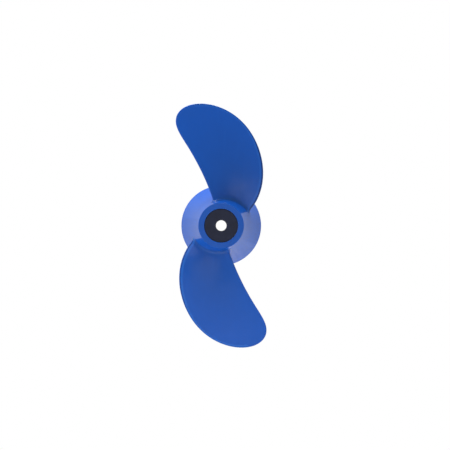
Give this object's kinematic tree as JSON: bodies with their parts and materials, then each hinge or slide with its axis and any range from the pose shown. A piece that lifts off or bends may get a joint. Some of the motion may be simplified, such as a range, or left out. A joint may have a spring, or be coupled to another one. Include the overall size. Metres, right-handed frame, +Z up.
{
  "type": "boat propeller",
  "caption": "Plastic boat propeller with swept-back blades, a flared hollow hub and a dark core with a shaft bore and drive-pin slot, for a small electric outboard motor.",
  "frame": {"origin": "on the shaft axis at the core's drive face, the flat motor-side end that seats on the motor", "axes": "-Y along the shaft to the nut end, +Y towards the motor, +Z up the upper blade, +X to the right as seen from the nut end"},
  "size_m": [0.0946, 0.06, 0.2546],
  "materials": {
    "blue_plastic": "moulded deep blue, glossy",
    "core_plastic": "moulded near-black, satin"
  },
  "bodies": {
    "root": {"propeller_moulding": "blue_plastic", "drive_core": "core_plastic"}
  },
  "joints": []
}
